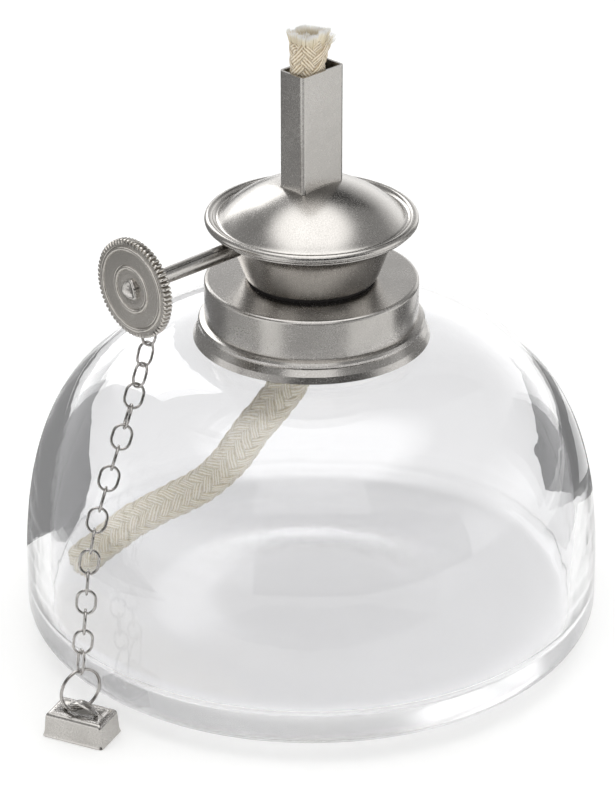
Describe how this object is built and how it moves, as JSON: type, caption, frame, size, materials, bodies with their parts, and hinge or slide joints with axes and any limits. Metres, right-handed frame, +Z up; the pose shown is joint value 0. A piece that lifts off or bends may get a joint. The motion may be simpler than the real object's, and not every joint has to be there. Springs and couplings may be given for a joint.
{
  "type": "spirit lamp",
  "caption": "Clear glass dome spirit lamp with a screw-in nickel burner, a knob-fed flat wick tube and a snuffer cap on a chain.",
  "frame": {"origin": "middle of the foot, on the surface that the lamp stands on", "axes": "+Z up along the burner; X along the feed spindle, the knob towards -X"},
  "size_m": [0.1051, 0.095, 0.105],
  "materials": {
    "glass": "gloss",
    "nickel": "satin",
    "plaster": "matte",
    "fibre": "matte",
    "cotton": "matte"
  },
  "bodies": {
    "reservoir": {"glass_reservoir": "glass", "collar": "nickel", "collar_cement": "plaster"},
    "seal": {"seal_washer": "fibre"},
    "burner": {"thread_shell": "nickel", "burner_cup": "nickel", "burner_dome": "nickel", "wick_tube": "nickel", "spindle_bracket": "nickel", "spindle_sleeve": "nickel", "wick_middle": "cotton", "wick_tail": "cotton"},
    "feed": {"spindle": "nickel", "knob": "nickel", "feed_wheel_outer": "nickel", "feed_wheel_inner": "nickel"},
    "wick": {"wick_top": "cotton"},
    "anchor": {"anchor_ring": "nickel"},
    "chain_upper": {"chain_link_01": "nickel", "chain_link_02": "nickel", "chain_link_03": "nickel", "chain_link_04": "nickel"},
    "chain_middle": {"chain_link_05": "nickel", "chain_link_06": "nickel", "chain_link_07": "nickel", "chain_link_08": "nickel", "chain_link_09": "nickel", "chain_link_10": "nickel", "chain_link_11": "nickel"},
    "chain_lower": {"chain_link_12": "nickel", "chain_link_13": "nickel", "chain_link_14": "nickel", "chain_link_15": "nickel", "chain_link_16": "nickel", "chain_link_17": "nickel", "chain_link_18": "nickel"},
    "jump": {"jump_ring": "nickel"},
    "snuffer": {"snuffer_cap": "nickel", "snuffer_lug": "nickel"}
  },
  "joints": [
    {"name": "burner_unscrew", "type": "hinge", "parent": "reservoir", "child": "seal", "pos_m": [0, 0, 0.06212], "axis": [0, 0, 1], "range_deg": [0, 990]},
    {"name": "burner_rise", "type": "slide", "parent": "seal", "child": "burner", "axis": [0, 0, 1], "range_m": [0, 0.00441]},
    {"name": "knob_turn", "type": "hinge", "parent": "burner", "child": "feed", "pos_m": [-0.0352, 0.004, 0.06977], "axis": [-1, 0, 0], "range_deg": [-262, 197]},
    {"name": "wick_feed", "type": "slide", "parent": "burner", "child": "wick", "axis": [0, 0, 1], "range_m": [-0.008, 0.006], "deforming": ["wick_middle"]},
    {"name": "ring_swing", "type": "hinge", "parent": "burner", "child": "anchor", "pos_m": [-0.0305, 0.004, 0.06977], "axis": [1, 0, 0], "range_deg": [-40, 40]},
    {"name": "chain_swing", "type": "hinge", "parent": "anchor", "child": "chain_upper", "pos_m": [-0.0305, 0.004, 0.06598], "axis": [0, 1, 0], "range_deg": [0, 8]},
    {"name": "chain_bend_upper", "type": "hinge", "parent": "chain_upper", "child": "chain_middle", "pos_m": [-0.0354, 0.00272, 0.05364], "axis": [0.0871, 0.9767, -0.1961], "range_deg": [0, 45]},
    {"name": "chain_bend_lower", "type": "hinge", "parent": "chain_middle", "child": "chain_lower", "pos_m": [-0.04776, -0.0005, 0.03391], "axis": [-0.658, 0.7106, 0.2491], "range_deg": [0, 60]},
    {"name": "jump_ring_swing", "type": "hinge", "parent": "chain_lower", "child": "jump", "pos_m": [-0.05281, -0.00181, 0.01102], "axis": [0.3894, 0.909, -0.1483], "range_deg": [0, 40]},
    {"name": "snuffer_tilt", "type": "hinge", "parent": "jump", "child": "snuffer", "pos_m": [-0.05275, -0.0018, 0.00453], "axis": [0.9866, -0.1633, 0], "range_deg": [-25, 25]}
  ],
  "couplings": [
    {"joint": "burner_rise", "follows": "burner_unscrew", "m_per_rad": 0.00025465},
    {"joint": "knob_turn", "follows": "wick_feed", "rad_per_m": 571.43}
  ]
}
